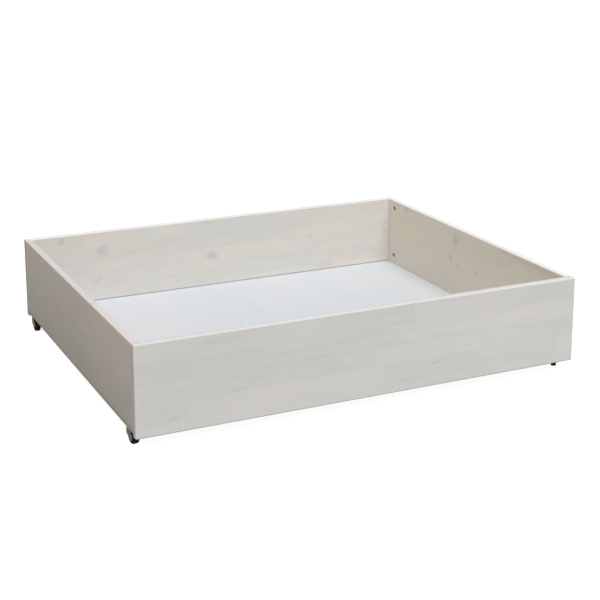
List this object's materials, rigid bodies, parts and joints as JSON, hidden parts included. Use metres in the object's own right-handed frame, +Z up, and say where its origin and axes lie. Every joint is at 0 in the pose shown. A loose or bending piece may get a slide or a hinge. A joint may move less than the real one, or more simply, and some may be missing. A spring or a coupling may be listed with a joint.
{
  "type": "under bed storage box",
  "caption": "Low open-top wooden storage box with plain panels, a thin inset base and small swivel castors that roll it under a bed.",
  "frame": {"origin": "middle of the box on the floor it stands on", "axes": "+Z up, -Y out of the front panel, +X along the front panel to its right end as seen from the front"},
  "size_m": [0.99, 0.81, 0.212],
  "materials": {
    "pine": "whitewashed pine, matt",
    "base_board": "white painted fibreboard, smooth",
    "rail_pine": "bare pine",
    "dowel_beech": "bare beech",
    "zinc": "zinc plated",
    "castor_steel": "zinc plated pressed steel",
    "sleeve_plastic": "grey moulded plastic",
    "wheel_plastic": "black moulded plastic"
  },
  "bodies": {
    "box": {"front_panel": "pine", "rear_panel": "pine", "left_panel": "pine", "right_panel": "pine", "base_left": "base_board", "base_right": "base_board", "base_rail": "rail_pine", "corner_barrels": "zinc", "corner_studs": "zinc", "corner_dowels": "dowel_beech", "side_screws": "zinc", "rail_screws": "zinc", "castor_sleeves": "sleeve_plastic"},
    "swivel_fl": {"castor_stem_fl": "castor_steel", "castor_fork_fl": "castor_steel", "castor_axle_fl": "castor_steel"},
    "roller_fl": {"castor_wheel_fl": "wheel_plastic"},
    "swivel_fr": {"castor_stem_fr": "castor_steel", "castor_fork_fr": "castor_steel", "castor_axle_fr": "castor_steel"},
    "roller_fr": {"castor_wheel_fr": "wheel_plastic"},
    "swivel_bl": {"castor_stem_bl": "castor_steel", "castor_fork_bl": "castor_steel", "castor_axle_bl": "castor_steel"},
    "roller_bl": {"castor_wheel_bl": "wheel_plastic"},
    "swivel_br": {"castor_stem_br": "castor_steel", "castor_fork_br": "castor_steel", "castor_axle_br": "castor_steel"},
    "roller_br": {"castor_wheel_br": "wheel_plastic"}
  },
  "joints": [
    {"name": "castor_turn_fl", "type": "hinge", "parent": "box", "child": "swivel_fl", "pos_m": [-0.487, -0.35, 0.0315], "axis": [0, 0, 1], "continuous": true},
    {"name": "wheel_roll_fl", "type": "hinge", "parent": "swivel_fl", "child": "roller_fl", "pos_m": [-0.4841, -0.36164, 0.0125], "axis": [0.9703, 0.2419, 0], "continuous": true},
    {"name": "castor_turn_fr", "type": "hinge", "parent": "box", "child": "swivel_fr", "pos_m": [0.487, -0.35, 0.0315], "axis": [0, 0, 1], "continuous": true},
    {"name": "wheel_roll_fr", "type": "hinge", "parent": "swivel_fr", "child": "roller_fr", "pos_m": [0.48012, -0.35983, 0.0125], "axis": [0.8192, -0.5736, 0], "continuous": true},
    {"name": "castor_turn_bl", "type": "hinge", "parent": "box", "child": "swivel_bl", "pos_m": [-0.487, 0.362, 0.0315], "axis": [0, 0, 1], "continuous": true},
    {"name": "wheel_roll_bl", "type": "hinge", "parent": "swivel_bl", "child": "roller_bl", "pos_m": [-0.48616, 0.35003, 0.0125], "axis": [0.9976, 0.0698, 0], "continuous": true},
    {"name": "castor_turn_br", "type": "hinge", "parent": "box", "child": "swivel_br", "pos_m": [0.487, 0.362, 0.0315], "axis": [0, 0, 1], "continuous": true},
    {"name": "wheel_roll_br", "type": "hinge", "parent": "swivel_br", "child": "roller_br", "pos_m": [0.48451, 0.35026, 0.0125], "axis": [0.9781, -0.2079, 0], "continuous": true}
  ]
}
